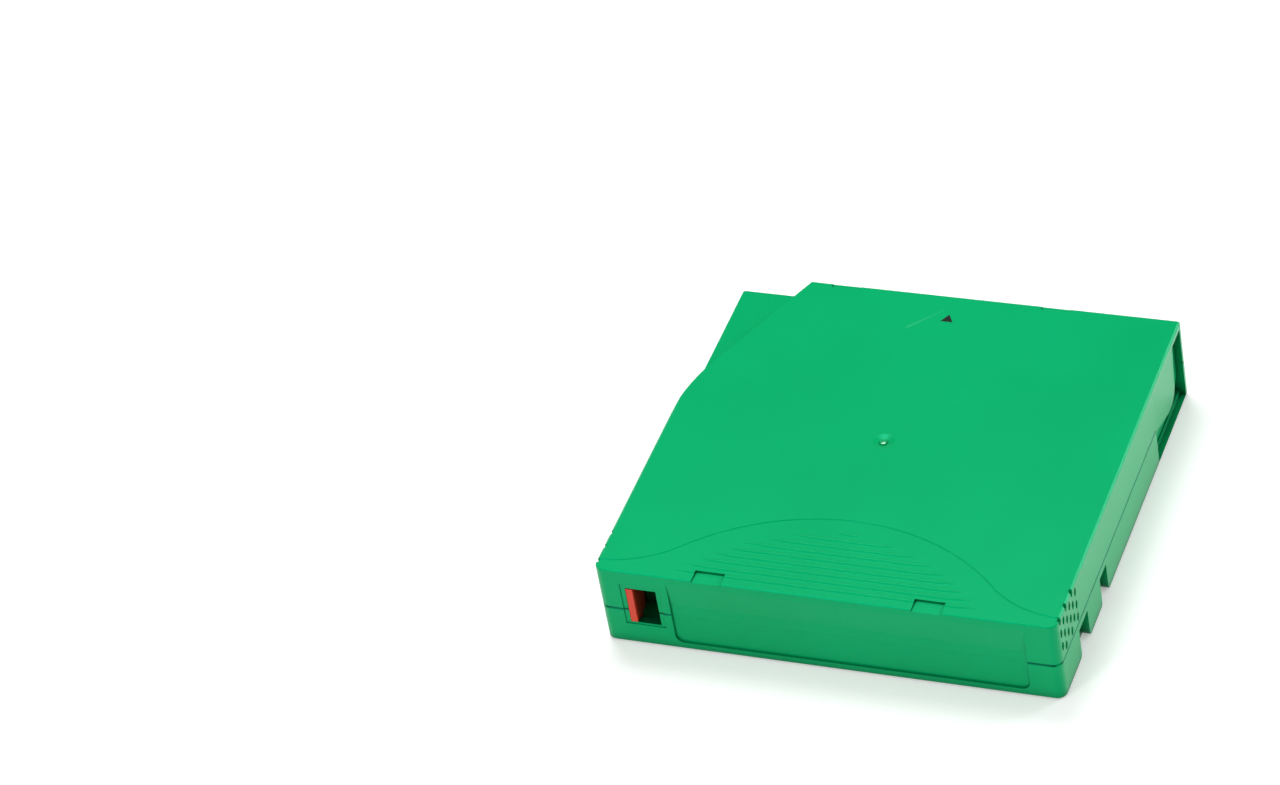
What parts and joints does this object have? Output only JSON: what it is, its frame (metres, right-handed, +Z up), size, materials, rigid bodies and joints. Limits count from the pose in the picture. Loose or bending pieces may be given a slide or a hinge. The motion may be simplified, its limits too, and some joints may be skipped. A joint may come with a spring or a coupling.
{
  "type": "data tape cartridge",
  "caption": "Flat moulded cartridge holding one reel of half-inch tape, with a sliding side door, a write-protect slider and a spring-loaded reel brake.",
  "frame": {"origin": "centre of the object's box, at the height of the base face that the cartridge lies on", "axes": "+Z up, through the thickness; +Y the way the cartridge goes into a drive, so the label end is -Y; +X towards the side with the tape door"},
  "size_m": [0.1054, 0.102, 0.0215],
  "materials": {
    "shell_green": "fine moulded texture",
    "slider_red": "moulded",
    "pin_steel": "turned",
    "clamp_plastic": "moulded",
    "spring_steel": "drawn wire and strip",
    "board_laminate": "laminate",
    "chip_resin": "moulded",
    "hub_plastic": "moulded, glass filled",
    "plate_steel": "stamped",
    "tape_film": "wound film",
    "brake_plastic": "moulded",
    "screw_steel": "zinc plated"
  },
  "bodies": {
    "case": {"upper_shell": "shell_green", "lower_shell": "shell_green", "leader_pin": "pin_steel", "leader_pin_clamp": "clamp_plastic", "pin_retaining_spring": "spring_steel", "memory_board": "board_laminate", "memory_chip": "chip_resin", "leader_tape": "tape_film", "door_spring": "spring_steel", "brake_spring": "spring_steel", "case_screw_rear_left": "screw_steel", "case_screw_rear_right": "screw_steel", "case_screw_front_left": "screw_steel", "case_screw_front_right": "screw_steel"},
    "door": {"access_door": "shell_green"},
    "slider": {"write_protect_slider": "slider_red"},
    "reel": {"reel_hub": "hub_plastic", "reel_upper_flange": "hub_plastic", "reel_plate": "plate_steel", "tape_pack": "tape_film"},
    "brake": {"brake_button": "brake_plastic"},
    "pad": {"release_pad": "brake_plastic"}
  },
  "joints": [
    {"name": "door_slide", "type": "slide", "parent": "case", "child": "door", "axis": [0, -1, 0], "range_m": [0, 0.02], "stiffness_N_per_m": 30, "springref_m": -0.001, "deforming": ["door_spring"]},
    {"name": "write_protect_slide", "type": "slide", "parent": "case", "child": "slider", "axis": [1, 0, 0], "range_m": [0, 0.0053]},
    {"name": "reel_spin", "type": "hinge", "parent": "case", "child": "reel", "pos_m": [-0.0017, 0, 0.01], "axis": [0, 0, 1], "continuous": true},
    {"name": "brake_lift", "type": "slide", "parent": "case", "child": "brake", "axis": [0, 0, 1], "range_m": [0, 0.0018], "stiffness_N_per_m": 400, "springref_m": -0.0005, "deforming": ["brake_spring"]},
    {"name": "pad_lift", "type": "slide", "parent": "reel", "child": "pad", "axis": [0, 0, 1], "range_m": [0, 0.0018]}
  ],
  "couplings": [
    {"joint": "pad_lift", "follows": "brake_lift", "ratio": 1}
  ]
}
